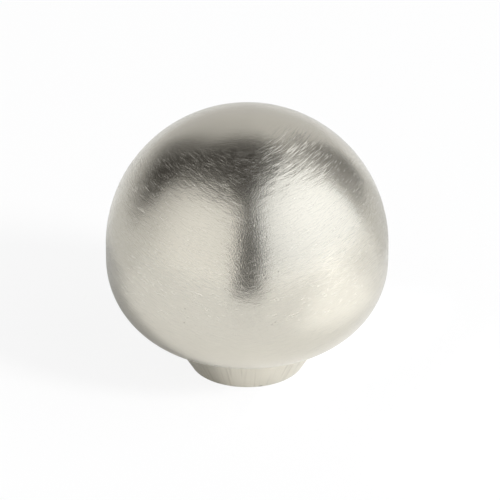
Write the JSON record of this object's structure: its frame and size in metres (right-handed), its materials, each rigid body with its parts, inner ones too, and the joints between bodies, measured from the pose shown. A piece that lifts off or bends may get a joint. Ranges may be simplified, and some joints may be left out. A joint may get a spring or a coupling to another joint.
{
  "type": "bifold door knob",
  "caption": "Ball-shaped brushed nickel pull knob on a short tapered neck, with a tapped blind hole in its flat base for the screw that fixes it to a bifold or cabinet door.",
  "frame": {"origin": "centre of the flat base that seats on the door", "axes": "+Z along the knob's axis, out of the door towards the crown of the ball; the knob is round about +Z, so +X and +Y are free"},
  "size_m": [0.038, 0.038, 0.0369],
  "materials": {
    "nickel": "satin nickel plate over solid brass, brushed round the ball and along the neck"
  },
  "bodies": {
    "root": {"knob": "nickel"}
  },
  "joints": []
}
